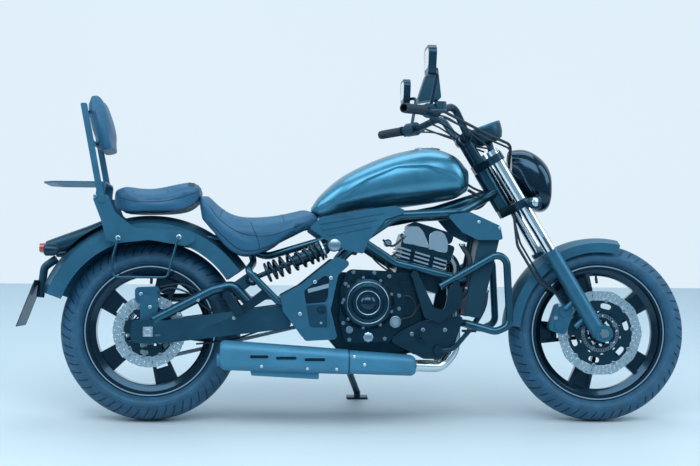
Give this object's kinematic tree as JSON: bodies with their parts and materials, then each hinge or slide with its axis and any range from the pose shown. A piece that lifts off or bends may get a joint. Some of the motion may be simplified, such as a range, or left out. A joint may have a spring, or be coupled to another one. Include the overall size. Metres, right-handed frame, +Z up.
{
  "type": "cruiser motorcycle",
  "caption": "Road motorcycle with a low stepped seat, backrest, luggage rack and engine guards, leaning on its side stand.",
  "frame": {"origin": "middle of the footprint of the whole machine, on the ground", "axes": "+X forwards along the machine, +Y to the rider's left, +Z up from the ground; the machine leans 8.5 degrees to +Y onto its side stand"},
  "size_m": [2.34, 0.9198, 1.3111],
  "materials": {
    "tank_paint": "satin metallic",
    "trim_paint": "satin",
    "frame_paint": "satin",
    "engine_paint": "satin",
    "gloss_black": "gloss",
    "black_metal": "satin",
    "spring_paint": "gloss",
    "muffler_paint": "matte",
    "header_steel": "polished",
    "disc_steel": "machined",
    "chain_steel": "oiled",
    "cap_metal": "satin",
    "chrome": "polished",
    "tyre_rubber": "matte",
    "grip_rubber": "matte",
    "black_plastic": "matte",
    "clear_lens": "clear",
    "smoked_lens": "clear",
    "red_lens": "gloss",
    "seat_leather": "matte"
  },
  "bodies": {
    "chassis": {"front_sprocket": "disc_steel", "drive_chain": "chain_steel", "frame_head": "frame_paint", "frame_sides": "frame_paint", "subframe_rails": "frame_paint", "engine_guards": "frame_paint", "swingarm": "frame_paint", "pivot_bolt": "chain_steel", "rear_axle": "chain_steel", "shock_absorber": "spring_paint", "rear_caliper": "black_metal", "crankcase": "engine_paint", "cylinder_block": "engine_paint", "right_covers": "engine_paint", "left_covers": "engine_paint", "radiator": "black_plastic", "exhaust_headers": "header_steel", "muffler": "muffler_paint", "fuel_tank": "tank_paint", "filler_cap": "cap_metal", "rider_seat": "seat_leather", "passenger_seat": "seat_leather", "side_covers": "trim_paint", "rear_mudguard": "trim_paint", "tail_cowl": "black_plastic", "tail_lamp": "red_lens", "rear_signals": "smoked_lens", "plate_holder": "black_plastic", "backrest_frame": "trim_paint", "backrest_pad": "seat_leather", "luggage_rack": "trim_paint", "bag_wires": "frame_paint", "footrests": "black_metal", "foot_controls": "black_metal", "pillion_pegs": "black_metal", "chain_guard": "black_plastic", "stand_bracket": "black_metal"},
    "steering": {"fork_sliders": "trim_paint", "fork_tubes": "chrome", "front_axle": "chain_steel", "fork_clamps": "black_metal", "handlebar": "black_metal", "grips": "grip_rubber", "hand_controls": "black_metal", "mirrors": "black_plastic", "headlamp_cowl": "trim_paint", "headlamp_lens": "clear_lens", "instrument_pod": "black_plastic", "front_signals": "smoked_lens", "front_mudguard": "trim_paint", "front_caliper": "black_metal", "control_lines": "grip_rubber"},
    "front_wheel": {"front_rim": "gloss_black", "front_tyre": "tyre_rubber", "front_disc": "disc_steel"},
    "rear_wheel": {"rear_rim": "gloss_black", "rear_tyre": "tyre_rubber", "rear_disc": "disc_steel", "rear_sprocket": "disc_steel"},
    "side_stand": {"side_stand": "black_metal"}
  },
  "joints": [
    {"name": "steering_turn", "type": "hinge", "parent": "chassis", "child": "steering", "pos_m": [0.49256, -0.06195, 0.79869], "axis": [-0.515, 0.1267, 0.8478], "range_deg": [-36, 36]},
    {"name": "front_wheel_spin", "type": "hinge", "parent": "steering", "child": "front_wheel", "pos_m": [0.85696, -0.13495, 0.31025], "axis": [0, 0.989, -0.1478], "continuous": true},
    {"name": "rear_wheel_spin", "type": "hinge", "parent": "chassis", "child": "rear_wheel", "pos_m": [-0.71804, -0.13506, 0.3095], "axis": [0, 0.989, -0.1478], "continuous": true},
    {"name": "side_stand_fold", "type": "hinge", "parent": "chassis", "child": "side_stand", "pos_m": [-0.02803, -0.04143, 0.17822], "axis": [0.15, 0.6357, 0.7572], "range_deg": [0, 92]}
  ]
}
